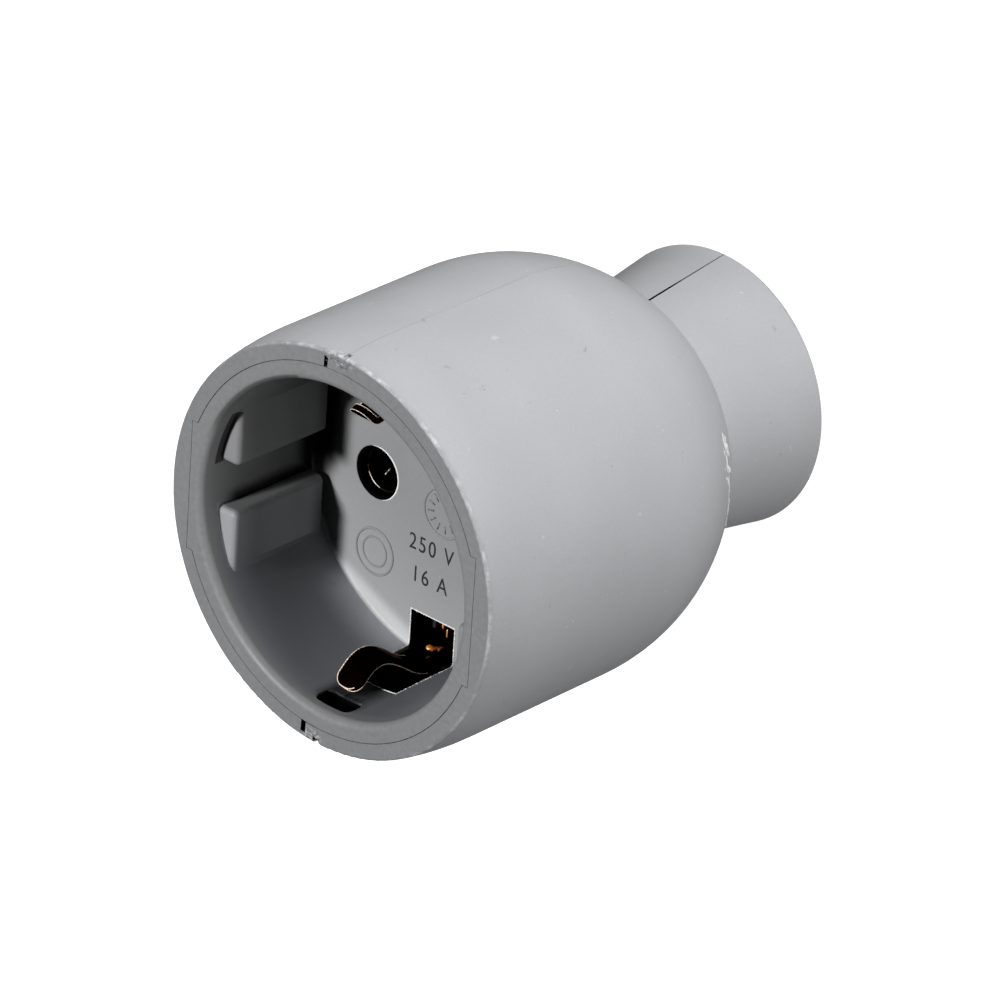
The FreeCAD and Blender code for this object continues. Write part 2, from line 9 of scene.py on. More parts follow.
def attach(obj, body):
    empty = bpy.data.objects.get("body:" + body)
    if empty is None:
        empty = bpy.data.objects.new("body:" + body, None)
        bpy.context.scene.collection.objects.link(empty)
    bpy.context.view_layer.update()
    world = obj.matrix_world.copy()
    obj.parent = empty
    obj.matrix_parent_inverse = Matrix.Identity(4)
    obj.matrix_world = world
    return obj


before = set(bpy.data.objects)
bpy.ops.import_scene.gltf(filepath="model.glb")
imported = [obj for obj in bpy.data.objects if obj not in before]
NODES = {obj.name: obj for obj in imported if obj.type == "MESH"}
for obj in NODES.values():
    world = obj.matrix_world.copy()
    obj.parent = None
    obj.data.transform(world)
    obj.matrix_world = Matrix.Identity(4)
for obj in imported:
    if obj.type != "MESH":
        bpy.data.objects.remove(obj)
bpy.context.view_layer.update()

scene = bpy.context.scene
MM = 0.001

FLOOR_Z = 44.5          # well floor, mm
RIM_Z = 62.0
DOME_Z = 33.5           # centre of the round rear dome
DOME_R = 24.3
TURN = math.radians(-1.5)               # the housing stands turned a little against the cup
DEPTH = 0.6                             # tone of all finishes; the lights make up for it
SPIN = Matrix.Rotation(TURN, 4, "Z")


# ------------------------------------------------------------------ materials
def material(name):
    m = bpy.data.materials.new(name)
    m.use_nodes = True
    nt = m.node_tree
    bsdf = next(n for n in nt.nodes if n.type == "BSDF_PRINCIPLED")
    return m, nt, bsdf


def node(nt, kind, **values):
    n = nt.nodes.new(kind)
    for k, v in values.items():
        setattr(n, k, v)
    return n


def noise(nt, vec, scale, detail=3.0, rough=0.55, distort=0.0):
    n = node(nt, "ShaderNodeTexNoise")
    n.inputs["Scale"].default_value = scale
    n.inputs["Detail"].default_value = detail
    n.inputs["Roughness"].default_value = rough
    n.inputs["Distortion"].default_value = distort
    nt.links.new(vec, n.inputs["Vector"])
    return n.outputs["Fac"]


def stretched(nt, vec, scale, turn=(0, 0, 0)):
    n = node(nt, "ShaderNodeMapping")
    n.inputs["Scale"].default_value = scale
    n.inputs["Rotation"].default_value = turn
    nt.links.new(vec, n.inputs["Vector"])
    return n.outputs["Vector"]


def ramp(nt, fac, stops):
    r = node(nt, "ShaderNodeValToRGB")
    e = r.color_ramp.elements
    while len(e) > 1:
        e.remove(e[-1])
    e[0].position, e[0].color = stops[0][0], stops[0][1]
    for pos, col in stops[1:]:
        e.new(pos).color = col
    nt.links.new(fac, r.inputs["Fac"])
    return r.outputs["Color"]


def grey(v):
    return (v, v, v, 1.0)


def tint(rgb, k=1.0):
    k *= DEPTH
    return (rgb[0] * k, rgb[1] * k, rgb[2] * k, 1.0)


def mix(nt, a, b, fac, mode="MIX"):
    m = node(nt, "ShaderNodeMix", data_type="RGBA", blend_type=mode)
    f = next(i for i in m.inputs if i.name == "Factor" and i.type == "VALUE")
    if isinstance(fac, float):
        f.default_value = fac
    else:
        nt.links.new(fac, f)
    for sock, v in (("A", a), ("B", b)):
        s = next(i for i in m.inputs if i.name == sock and i.type == "RGBA")
        if isinstance(v, tuple):
            s.default_value = v
        else:
            nt.links.new(v, s)
    return next(o for o in m.outputs if o.type == "RGBA")


def bumped(nt, height, strength, distance, under=None):
    b = node(nt, "ShaderNodeBump")
    b.inputs["Strength"].default_value = strength
    b.inputs["Distance"].default_value = distance
    nt.links.new(height, b.inputs["Height"])
    if under is not None:
        nt.links.new(under, b.inputs["Normal"])
    return b.outputs["Normal"]


def maths(nt, op, a, b):
    n = node(nt, "ShaderNodeMath", operation=op)
    for i, v in enumerate((a, b)):
        if isinstance(v, float):
            n.inputs[i].default_value = v
        else:
            nt.links.new(v, n.inputs[i])
    return n.outputs[0]


def eased(nt, value, lo, hi):
    n = node(nt, "ShaderNodeMapRange", interpolation_type="SMOOTHSTEP")
    n.inputs["From Min"].default_value = lo
    n.inputs["From Max"].default_value = hi
    nt.links.new(value, n.inputs["Value"])
    return n.outputs["Result"]


def falling(nt, value, lo, hi):
    return maths(nt, "SUBTRACT", 1.0, eased(nt, value, lo, hi))


def times(nt, *parts):
    out = parts[0]
    for part in parts[1:]:
        out = maths(nt, "MULTIPLY", out, part)
    return out


def between(nt, value, lo, hi):
    return maths(nt, "MULTIPLY", maths(nt, "GREATER_THAN", value, lo), maths(nt, "LESS_THAN", value, hi))


def place(nt, vec):
    # position on the part, and its squared distance from the axis
    p = node(nt, "ShaderNodeSeparateXYZ")
    nt.links.new(vec, p.inputs[0])
    x, y, z = p.outputs[0], p.outputs[1], p.outputs[2]
    return x, y, z, maths(nt, "ADD", maths(nt, "MULTIPLY", x, x), maths(nt, "MULTIPLY", y, y))


def darker_rim_top(nt, vec, colour, z, shade):
    # the rim's top face is a little darker than the rest, and mottled
    top = eased(nt, z, 0.0612, 0.0619)
    mottle = maths(nt, "MULTIPLY", maths(nt, "SUBTRACT", noise(nt, vec, 1500.0, 3.0, 0.6), 0.5), 0.34)
    k = maths(nt, "ADD", maths(nt, "MULTIPLY", top, maths(nt, "ADD", mottle, shade)), 1.0)
    return mix(nt, colour, k, 1.0, "MULTIPLY")


def cup_zones(nt, vec, colour, rgb):
    x, y, z, r2 = place(nt, vec)
    colour = darker_rim_top(nt, vec, colour, z, -0.11)
    # the well's floor is painted lighter than its walls, most of all away from the pins' path: painted light
    away = maths(nt, "ADD", maths(nt, "MULTIPLY", x, -0.40), maths(nt, "MULTIPLY", y, -0.92))
    floor_light = maths(nt, "ADD", maths(nt, "MULTIPLY", eased(nt, away, 0.002, 0.018), 0.26), 0.13)
    level = between(nt, z, 0.04445, 0.0449)
    colour = mix(nt, colour, maths(nt, "ADD", maths(nt, "MULTIPLY", level, floor_light), 1.0), 1.0, "MULTIPLY")
    # the floor's edge and the foot of the wall beside it are painted lightest: painted light
    edge = maths(nt, "MULTIPLY", maths(nt, "MULTIPLY", level, eased(nt, away, 0.0160, 0.0180)), 0.6)
    wall_foot_light = maths(nt, "MULTIPLY", eased(nt, away, 0.0173, 0.0186), maths(nt, "SUBTRACT", 1.0, eased(nt, z, 0.0446, 0.0505)))
    wall_foot_light = maths(nt, "MULTIPLY", maths(nt, "MULTIPLY", wall_foot_light, maths(nt, "SUBTRACT", 1.0, level)), 1.4)
    colour = mix(nt, colour, maths(nt, "ADD", maths(nt, "ADD", edge, wall_foot_light), 1.0), 1.0, "MULTIPLY")
    # the walls are a cooler grey than the floor
    walls = maths(nt, "MULTIPLY", maths(nt, "SUBTRACT", 1.0, level), maths(nt, "LESS_THAN", z, 0.0605))
    colour = mix(nt, colour, (0.965, 0.992, 1.05, 1.0), times(nt, walls, falling(nt, y, -0.012, 0.0)), "MULTIPLY")
    # the left ribs' flats are painted paler, and so is the lower one's end: painted light
    wall = maths(nt, "SUBTRACT", 1.0, level)
    flats = times(nt, between(nt, x, -0.0167, -0.0162), between(nt, y, -0.0093, 0.0098), wall)
    amount = maths(nt, "ADD", maths(nt, "MULTIPLY", maths(nt, "LESS_THAN", y, 0.0), 0.3), 0.5)
    pale = times(nt, flats, falling(nt, z, 0.050, 0.057), eased(nt, z, 0.0454, 0.0478), amount)
    end = times(nt, between(nt, z, 0.0590, 0.0595), between(nt, y, -0.0095, -0.0025), maths(nt, "LESS_THAN", x, -0.0165), 0.33)
    colour = mix(nt, colour, maths(nt, "ADD", maths(nt, "ADD", pale, end), 1.0), 1.0, "MULTIPLY")
    # painted shade sits in the corners between them, along the upper one's outer edge and inside the mouth's round
    corner = maths(nt, "MAXIMUM", times(nt, falling(nt, y, -0.0026, -0.0010), 0.88), times(nt, falling(nt, z, 0.0454, 0.0480), 0.92))
    corner_shade = times(nt, maths(nt, "LESS_THAN", x, -0.0186), between(nt, y, -0.0031, 0.0031), falling(nt, z, 0.0562, 0.0588), wall, corner)
    nook = times(nt, level, falling(nt, x, -0.0166, -0.0145), eased(nt, y, -0.0032, -0.0006), falling(nt, y, 0.0075, 0.0095), 0.9)
    line = times(nt, between(nt, z, 0.0588, 0.0601), between(nt, y, 0.0025, 0.0095), maths(nt, "LESS_THAN", x, -0.0125), eased(nt, r2, 0.0188 ** 2, 0.0191 ** 2), 0.75)
    round_ = times(nt, eased(nt, z, 0.0611, 0.0616), falling(nt, r2, 0.0198 ** 2, 0.0201 ** 2), eased(nt, y, 0.006, 0.010), maths(nt, "LESS_THAN", x, -0.006), 0.5)
    corner_shade = maths(nt, "MAXIMUM", maths(nt, "MAXIMUM", corner_shade, nook), maths(nt, "MAXIMUM", line, round_))
    colour = mix(nt, colour, tint(rgb, 0.01), corner_shade)
    # a mottled painted shadow of the lower spring in its track, from its window to the pocket by the mouth
    side = maths(nt, "ADD", x, 0.0003)
    right = maths(nt, "SUBTRACT", 1.0, eased(nt, side, 0.0008, 0.0056))
    faint = maths(nt, "MULTIPLY", maths(nt, "SUBTRACT", 1.0, eased(nt, side, 0.005, 0.011)), 0.28)
    track = maths(nt, "MULTIPLY", eased(nt, side, -0.0036, -0.0016), maths(nt, "MAXIMUM", right, faint))
    track = maths(nt, "MULTIPLY", track, maths(nt, "SUBTRACT", 1.0, eased(nt, z, 0.0590, 0.0604)))
    track = maths(nt, "MULTIPLY", track, maths(nt, "MULTIPLY", maths(nt, "LESS_THAN", y, -0.0155), maths(nt, "SUBTRACT", 1.0, level)))
    spring_shadow = ramp(nt, noise(nt, stretched(nt, vec, (1.0, 1.0, 0.35)), 900.0, 4.0, 0.65), [(0.35, grey(0.80)), (0.65, grey(0.98))])
    spring_shadow = maths(nt, "MULTIPLY", track, spring_shadow)
    colour = mix(nt, colour, tint(rgb, 0.01), spring_shadow)
    # the passages behind the well's walls and floor are painted nearly black: painted shade
    behind = maths(nt, "MULTIPLY", maths(nt, "GREATER_THAN", r2, 0.01962 ** 2), maths(nt, "LESS_THAN", z, 0.0607))
    under = maths(nt, "LESS_THAN", z, 0.04445)
    painted_shade = maths(nt, "MAXIMUM", behind, under)
    return mix(nt, colour, tint(rgb, 0.008), painted_shade), maths(nt, "MAXIMUM", maths(nt, "MAXIMUM", painted_shade, spring_shadow), corner_shade)


def housing_zones(nt, vec, colour, rgb):
    x, y, z, r2 = place(nt, vec)
    colour = darker_rim_top(nt, vec, colour, z, -0.11)
    c, s = math.cos(TURN), math.sin(TURN)
    across = maths(nt, "ADD", maths(nt, "MULTIPLY", x, c), maths(nt, "MULTIPLY", y, s))
    along = maths(nt, "ADD", maths(nt, "MULTIPLY", x, -s), maths(nt, "MULTIPLY", y, c))
    # the rim's outer edge is paler in places: edge wear and a painted highlight
    edge = maths(nt, "MULTIPLY", eased(nt, z, 0.0615, 0.0618), eased(nt, r2, 0.02328 ** 2, 0.02345 ** 2))
    edge_wear_highlight = ramp(nt, noise(nt, vec, 430.0, 4.0, 0.7), [(0.50, grey(0.0)), (0.66, grey(0.75))])
    colour = mix(nt, colour, tint(rgb, 1.55), maths(nt, "MULTIPLY", edge, edge_wear_highlight))
    # the two rim joints have been levered open: torn pale and dark shreds beside them
    shreds = noise(nt, vec, 1700.0, 4.0, 0.7, 0.8)
    torn_pale = ramp(nt, shreds, [(0.53, grey(0.0)), (0.60, grey(0.9))])
    torn_dark = ramp(nt, shreds, [(0.38, grey(0.85)), (0.45, grey(0.0))])
    for cx, cy, wide, deep in ((-0.0006, 0.0230, 0.0024, 0.0011), (-0.0006, -0.0228, 0.0020, 0.0010)):
        dx = maths(nt, "DIVIDE", maths(nt, "SUBTRACT", across, cx), wide)
        dy = maths(nt, "DIVIDE", maths(nt, "SUBTRACT", along, cy), deep)
        dz = maths(nt, "DIVIDE", maths(nt, "SUBTRACT", z, 0.062), 0.0016)
        d2 = maths(nt, "ADD", maths(nt, "ADD", maths(nt, "MULTIPLY", dx, dx), maths(nt, "MULTIPLY", dy, dy)), maths(nt, "MULTIPLY", dz, dz))
        near = eased(nt, maths(nt, "SUBTRACT", 1.0, d2), 0.0, 0.8)
        colour = mix(nt, colour, tint(rgb, 1.7), maths(nt, "MULTIPLY", near, torn_pale))
        colour = mix(nt, colour, tint(rgb, 0.25), maths(nt, "MULTIPLY", near, torn_dark))
    # the bore, the lap joint and the open seam of the neck are painted nearly black: painted shade
    bore = maths(nt, "MULTIPLY", between(nt, z, 0.036, 0.06193), maths(nt, "LESS_THAN", r2, 0.0233 ** 2))
    bore = maths(nt, "MAXIMUM", bore, maths(nt, "MULTIPLY", between(nt, z, 0.026, 0.0361), maths(nt, "LESS_THAN", r2, 0.0218 ** 2)))
    open_to = maths(nt, "ADD", maths(nt, "MULTIPLY", z, -0.0137), -0.00012)
    seam = maths(nt, "MULTIPLY", maths(nt, "LESS_THAN", across, 0.000012), maths(nt, "GREATER_THAN", across, open_to))
    seam = maths(nt, "MULTIPLY", seam, maths(nt, "MULTIPLY", maths(nt, "LESS_THAN", z, 0.0142), maths(nt, "ADD", maths(nt, "MULTIPLY", eased(nt, z, 0.0065, 0.0090), 0.55), 0.45)))
    colour = mix(nt, colour, tint(rgb, 0.11), maths(nt, "MULTIPLY", bore, maths(nt, "GREATER_THAN", along, 0.0)))
    low = maths(nt, "MULTIPLY", bore, maths(nt, "LESS_THAN", along, 0.0))
    return mix(nt, colour, tint(rgb, 0.03), maths(nt, "MAXIMUM", low, seam)), maths(nt, "MAXIMUM", bore, seam)


def moulded_plastic(name, rgb, rough=0.5, wear=1.0, spec=0.22, zones=None):
    m, nt, b = material(name)
    vec = node(nt, "ShaderNodeTexCoord").outputs["Object"]
    # slow blotches, finer clouds and the grain of the mould
    blotch = ramp(nt, noise(nt, vec, 38.0, 2.0), [(0.35, tint(rgb, 0.972)), (0.65, tint(rgb, 1.022))])
    cloud = noise(nt, vec, 130.0, 3.0)
    colour = mix(nt, blotch, ramp(nt, cloud, [(0.30, grey(0.97)), (0.70, grey(1.0))]), 1.0, "MULTIPLY")
    fine = ramp(nt, noise(nt, vec, 2600.0, 2.0), [(0.25, grey(0.945)), (0.75, grey(1.0))])
    colour = mix(nt, colour, fine, 1.0, "MULTIPLY")
    # sparse pale nicks, soft dark specks and a few short rubbed streaks
    pale = ramp(nt, noise(nt, vec, 760.0, 3.0, 0.62), [(0.695, grey(0.0)), (0.75, grey(0.55 * wear))])
    colour = mix(nt, colour, tint(rgb, 1.35), pale)
    dark = ramp(nt, noise(nt, vec, 640.0, 3.0, 0.62, 0.4), [(0.250, grey(0.50 * wear)), (0.300, grey(0.0))])
    colour = mix(nt, colour, tint(rgb, 0.55), dark)
    streak = noise(nt, stretched(nt, vec, (1.0, 1.0, 0.12), (0.5, 0.25, 0.0)), 1000.0, 2.0, 0.6)
    rub = ramp(nt, streak, [(0.70, grey(0.0)), (0.82, grey(0.22 * wear))])
    colour = mix(nt, colour, tint(rgb, 1.2), rub)
    if zones is not None:
        colour, painted_shade = zones(nt, vec, colour, rgb)
    nt.links.new(colour, b.inputs["Base Color"])
    gloss = ramp(nt, cloud, [(0.3, grey(rough - 0.05)), (0.7, grey(rough + 0.06))])
    nt.links.new(gloss, b.inputs["Roughness"])
    if zones is None:
        b.inputs["Specular IOR Level"].default_value = spec
    else:
        nt.links.new(maths(nt, "MULTIPLY", maths(nt, "SUBTRACT", 1.0, painted_shade), spec), b.inputs["Specular IOR Level"])
    # eroded mould texture over a slow waviness
    n1 = bumped(nt, noise(nt, vec, 150.0, 2.0), 0.08, 0.0003)
    n2 = bumped(nt, noise(nt, vec, 4000.0, 2.0, 0.5), 0.15, 0.00006, n1)
    nt.links.new(n2, b.inputs["Normal"])
    return m


def worn_metal(name, rgb, dark, rough, tarnish=0.5, brushed=0.0, metallic=1.0, edge=(1.0, 1.0, 1.0, 1.0)):
    m, nt, b = material(name)
    vec = node(nt, "ShaderNodeTexCoord").outputs["Object"]
    b.inputs["Metallic"].default_value = metallic
    b.inputs["Specular Tint"].default_value = edge
    cloud = noise(nt, vec, 420.0, 4.0, 0.6)
    colour = ramp(nt, cloud, [(0.5 - tarnish * 0.3, tint(dark)), (0.5 + tarnish * 0.3, tint(rgb))])
    nt.links.new(colour, b.inputs["Base Color"])
    gloss = ramp(nt, cloud, [(0.3, grey(rough + 0.15)), (0.7, grey(rough))])
    nt.links.new(gloss, b.inputs["Roughness"])
    grain = noise(nt, stretched(nt, vec, (1.0, 1.0, 1.0 - 0.9 * brushed)), 3500.0, 2.0)
    nt.links.new(bumped(nt, grain, 0.15, 0.00004), b.inputs["Normal"])
    return m


GREY = (0.296, 0.300, 0.309)
housing = moulded_plastic("housing_plastic", GREY, zones=housing_zones)
cup_plastic = moulded_plastic("cup_plastic", (0.298, 0.301, 0.306), 0.48, 0.8, zones=cup_zones)
base_plastic = moulded_plastic("base_plastic", (0.03, 0.03, 0.032), 0.5, 0.4)
earth_metal = worn_metal("earth_copper", (0.034, 0.009, 0.004), (0.006, 0.003, 0.002), 0.24, 0.7, edge=(0.16, 0.045, 0.02, 1.0))
bright_copper = worn_metal("rubbed_highlight_copper", (1.55, 1.42, 1.28), (1.55, 1.08, 0.74), 0.34, 0.8, metallic=0.2)
pressed_copper_glint = worn_metal("pressed_copper_glint", (1.6, 0.80, 0.28), (1.3, 0.30, 0.06), 0.32, 0.6, metallic=0.55)
brass = worn_metal("contact_brass", (0.14, 0.10, 0.045), (0.05, 0.035, 0.016), 0.28, 0.5)
shadowed_sleeve_brass = worn_metal("shadowed_sleeve_brass", (0.030, 0.022, 0.012), (0.010, 0.008, 0.005), 0.40, 0.5)
bright_brass = worn_metal("painted_glint_brass", (1.0, 0.97, 0.90), (0.95, 0.88, 0.74), 0.35, 0.5, metallic=0.2)
zinc = worn_metal("zinc_steel", (0.62, 0.62, 0.62), (0.36, 0.36, 0.35), 0.3, 0.6, 1.0)

FINISH = {
    "shell_right": housing, "shell_left": housing, "socket_cup": cup_plastic,
    "contact_base": base_plastic, "cord_clamp_bar": base_plastic,
    "earth_bracket": earth_metal,
    "live_contact": brass, "neutral_contact": brass,
    "live_terminal": brass, "neutral_terminal": brass, "earth_terminal": brass,
    "live_sleeve_spring": zinc, "neutral_sleeve_spring": zinc,
    "terminal_screws": zinc, "base_screws": zinc, "housing_screws": zinc,
    "housing_nuts": zinc, "cord_clamp_screws": zinc,
}
for name, obj in NODES.items():
    obj.data.materials.clear()
    obj.data.materials.append(FINISH[name])

# plastic where it is rubbed pale, pale plastic for painted edge highlights, and plastic where it is cut or inked dark
rubbed = moulded_plastic("rubbed_plastic", (0.49, 0.495, 0.50), 0.6, 0.6)
edge_highlight_mat = moulded_plastic("pale_edge_highlight_plastic", (1.1, 1.105, 1.11), 0.5, 0.2)
shaded = moulded_plastic("marked_plastic", (0.03, 0.031, 0.033), 0.55, 0.3)
raised = moulded_plastic("raised_plastic", (0.33, 0.333, 0.338), 0.48, 0.5)


# ---------------------------------------------------------------------- pieces
def add_piece(name, mesh, mat):
    mesh.materials.clear()
    mesh.materials.append(mat)
    o = bpy.data.objects.new(name, mesh)
    scene.collection.objects.link(o)
    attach(o, "root")
    return o


def mesh_from(bm, name, smooth=True):
    bmesh.ops.recalc_face_normals(bm, faces=bm.faces)
    me = bpy.data.meshes.new(name)
    bm.to_mesh(me)
    bm.free()
    for p in me.polygons:
        p.use_smooth = smooth
    return me


def ring_bead(bm, cx, cy, rx, ry, width, height, z0, turn=0.0, a0=0.0, a1=360.0, n=96):
    # low half-round bead along an ellipse or a part of one, standing on a level face
    k = 7
    closed = abs(a1 - a0) > 359.9
    rows = []
    for i in range(n if closed else n + 1):
        a = math.radians(a0 + (a1 - a0) * i / n)
        thin = 1.0 if closed else max(0.06, math.sin(math.pi * i / n)) ** 0.5
        row = []
        for j in range(k):
            t = math.pi * j / (k - 1)
            off = 0.5 * width * thin * math.cos(t)
            z = z0 - 0.02 + (height * thin + 0.02) * math.sin(t)
            x = (rx + off) * math.cos(a)
            y = (ry + off) * math.sin(a)
            c, s = math.cos(turn), math.sin(turn)
            row.append(bm.verts.new(((cx + x * c - y * s) * MM, (cy + x * s + y * c) * MM, z * MM)))
        rows.append(row)
    last = len(rows) if closed else len(rows) - 1
    for i in range(last):
        a, b = rows[i], rows[(i + 1) % len(rows)]
        for j in range(k - 1):
            bm.faces.new((a[j], b[j], b[j + 1], a[j + 1]))
        bm.faces.new((a[k - 1], b[k - 1], b[0], a[0]))
    if not closed:
        bm.faces.new(rows[0])
        bm.faces.new(list(reversed(rows[-1])))


def bar_bead(bm, p, q, width, height, z0):
    # low rounded bar between two points of a level face
    d = Vector((q[0] - p[0], q[1] - p[1], 0)).normalized()
    w = Vector((-d.y, d.x, 0))
    ends = []
    for c, e in ((Vector((p[0], p[1], z0)), -1), (Vector((q[0], q[1], z0)), 1)):
        row = []
        for j in range(7):
            t = math.pi * j / 6
            row.append(bm.verts.new((c + w * (0.5 * width * math.cos(t)) + Vector((0, 0, -0.02 + (height + 0.02) * math.sin(t)))
                                     + d * (e * 0.3 * width * math.sin(t))) * MM))
        ends.append(row)
    a, b = ends
    for j in range(6):
        bm.faces.new((a[j], b[j], b[j + 1], a[j + 1]))
    bm.faces.new((a[6], b[6], b[0], a[0]))
    bm.faces.new(list(reversed(a)))
    bm.faces.new(b)


def floor_text(name, body, cx, cy, size, mat):
    cu = bpy.data.curves.new(name, "FONT")
    cu.body = body
    cu.size = size * MM
    cu.align_x = "CENTER"
    cu.align_y = "CENTER"
    cu.space_character = 1.22
    cu.extrude = 0.02 * MM
    cu.bevel_depth = 0.012 * MM
    cu.bevel_resolution = 1
    cu.offset = -0.018 * MM
    tmp = bpy.data.objects.new(name + "_curve", cu)
    scene.collection.objects.link(tmp)
    dg = bpy.context.evaluated_depsgraph_get()
    me = bpy.data.meshes.new_from_object(tmp.evaluated_get(dg))
    bpy.data.objects.remove(tmp)
    bpy.data.curves.remove(cu)
    me.transform(Matrix.Translation((cx * MM, cy * MM, (FLOOR_Z + 0.02) * MM)) @ Matrix.Diagonal((0.86, 1.0, 1.0, 1.0)))
    me.name = name
    return add_piece(name, me, mat)


# plain mould marks on the well floor: a double ring, and a ring with a tick for each twelfth
bm = bmesh.new()
ring_bead(bm, -9.2, -9.6, 2.75, 2.75, 0.30, 0.12, FLOOR_Z)
ring_bead(bm, -9.2, -9.6, 1.75, 1.75, 0.26, 0.10, FLOOR_Z)
add_piece("mould_ring_a", mesh_from(bm, "mould_ring_a"), raised)
bm = bmesh.new()
ring_bead(bm, 0.6, -1.0, 2.9, 2.9, 0.30, 0.12, FLOOR_Z)
for i in range(12):
    a = math.radians(30 * i + 9)
    bar_bead(bm, (0.6 + 1.5 * math.cos(a), -1.0 + 1.5 * math.sin(a)), (0.6 + 2.35 * math.cos(a), -1.0 + 2.35 * math.sin(a)),
             0.22, 0.05, FLOOR_Z)
add_piece("mould_ring_b", mesh_from(bm, "mould_ring_b"), raised)
floor_text("rating_volts", "250 V", -0.9, -6.1, 2.75, shaded)
floor_text("rating_amps", "16 A", -0.9, -9.9, 2.75, shaded)


def sharp_edges(obj, keep, angle=35.0):
    # outward edges of a solid, as (end, end, outward direction), in metres
    bm = bmesh.new()
    bm.from_mesh(obj.data)
    bmesh.ops.remove_doubles(bm, verts=bm.verts, dist=2e-7)
    bmesh.ops.recalc_face_normals(bm, faces=bm.faces)
    out = []
    for e in bm.edges:
        if len(e.link_faces) != 2 or e.calc_face_angle(0.0) < math.radians(angle) or not e.is_convex:
            continue
        a, b = e.verts[0].co.copy(), e.verts[1].co.copy()
        if keep((a + b) / (2 * MM)):
            out.append((a, b, (e.link_faces[0].normal + e.link_faces[1].normal).normalized()))
    bm.free()
    return out


def edge_bead(name, edges, radius, mat, rng):
    # thin bright line along edges, of uneven thickness: a painted highlight along worn edges
    bm = bmesh.new()
    for a, b, n in edges:
        t = b - a
        steps = max(1, int(t.length / (0.35 * MM)))
        d = t.normalized()
        u = (n - d * n.dot(d)).normalized()
        v = d.cross(u)
        for i in range(steps):
            p = a + t * (i / steps) - d * (radius * 0.4)
            q = a + t * ((i + 1) / steps) + d * (radius * 0.4)
            rows = []
            for c in (p, q):
                rad = radius * rng.uniform(0.7, 1.15)
                rows.append([bm.verts.new(c + (u * math.cos(k * math.pi / 3) + v * math.sin(k * math.pi / 3)) * rad)
                             for k in range(6)])
            for k in range(6):
                bm.faces.new((rows[0][k], rows[1][k], rows[1][(k + 1) % 6], rows[0][(k + 1) % 6]))
            bm.faces.new(list(reversed(rows[0])))
            bm.faces.new(rows[1])
    return add_piece(name, mesh_from(bm, name), mat)


rng = random.Random(11)
bracket = NODES["earth_bracket"]
# pale copper beads along the springs' edges: rubbed edges and a painted highlight
rubbed_edge_highlights = [(a, b, n) for a, b, n in sharp_edges(bracket, lambda c: c.z > 46.2, 50.0)
                if not (a.x + b.x > 0.0016 and abs(n.x) > 0.4 and n.y * (a.y + b.y) < 0.0 and a.y < 0.0)]
edge_bead("spring_edges", [e for e in rubbed_edge_highlights if e[0].y < 0.0], 0.068 * MM, bright_copper, rng)
edge_bead("upper_spring_edges", [e for e in rubbed_edge_highlights if e[0].y >= 0.0], 0.042 * MM, bright_copper, rng)

# nubs pressed out of the strip, below the well's floor; their bright orange copper is a painted glint
bm = bmesh.new()
for sy in (-1, 1):
    for x, y, z, rx, ry, rz in ((-1.2, 19.20, 42.8, 0.48, 0.34, 0.50), (-0.58, 19.20, 42.5, 0.14, 0.26, 0.75), (-0.22, 19.20, 42.1, 0.17, 0.28, 0.50),
                                (0.15, 19.20, 44.6, 0.14, 0.2, 0.30), (-1.35, 17.2, 40.70, 0.14, 0.42, 0.16), (-0.7, 17.9, 40.70, 0.10, 0.55, 0.13)):
        shape = Matrix.Translation((x * MM, sy * y * MM, z * MM)) @ Matrix.Diagonal((rx * MM, ry * MM, rz * MM, 1.0))
        bmesh.ops.create_uvsphere(bm, u_segments=20, v_segments=12, radius=1.0, matrix=shape)
nubs = add_piece("spring_nubs", mesh_from(bm, "spring_nubs"), pressed_copper_glint)
nubs.data.transform(SPIN)


def slot_edge(c):
    r = math.hypot(c.x, c.y)
    window = abs(c.x) < 3.5 and abs(c.y) > 14.0 and FLOOR_Z - 0.02 < c.z < 53.7 and r < 19.6
    return window


# pale beads along the edges of the windows and slots: a painted highlight
edge_bead("slot_edges", sharp_edges(NODES["socket_cup"], slot_edge), 0.085 * MM, edge_highlight_mat, rng)
# a pale arc on the lit side of each pin hole's edge: a painted highlight
bm = bmesh.new()
for sx in (-1, 1):
    ring_bead(bm, sx * 9.5, 0.0, 3.17, 3.17, 0.24, 0.06, FLOOR_Z, 0.0, -72.0, 106.0, 80)
add_piece("pin_hole_edges", mesh_from(bm, "pin_hole_edges"), edge_highlight_mat)


def collar(bm, cx, r0, r1, z0, z1, gap):
    # split ring: the rolled mouth of a pin sleeve
    for half in (0, 1):
        rows = []
        for i in range(33):
            a = math.radians(180 * half + gap + (180 - 2 * gap) * i / 32)
            c, s = math.cos(a), math.sin(a)
            mid = 0.5 * (r0 + r1)
            prof = [(r0 + 0.06, z0), (r1, z0), (r1, z1 - 0.1), (mid + 0.06, z1), (mid - 0.06, z1), (r0, z1 - 0.14), (r0, z0 + 0.2)]
            rows.append([bm.verts.new(((cx + r * c) * MM, r * s * MM, z * MM)) for r, z in prof])
        k = len(rows[0])
        for i in range(32):
            for j in range(k):
                bm.faces.new((rows[i][j], rows[i + 1][j], rows[i + 1][(j + 1) % k], rows[i][(j + 1) % k]))
        bm.faces.new(rows[0])
        bm.faces.new(list(reversed(rows[-1])))


# the sleeves' rolled mouths, in near-black brass: painted shade
bm = bmesh.new()
for sx in (-1, 1):
    collar(bm, sx * 9.5, 2.42, 2.74, 41.1, 43.3, 7.0)
add_piece("sleeve_mouths", mesh_from(bm, "sleeve_mouths"), shadowed_sleeve_brass)
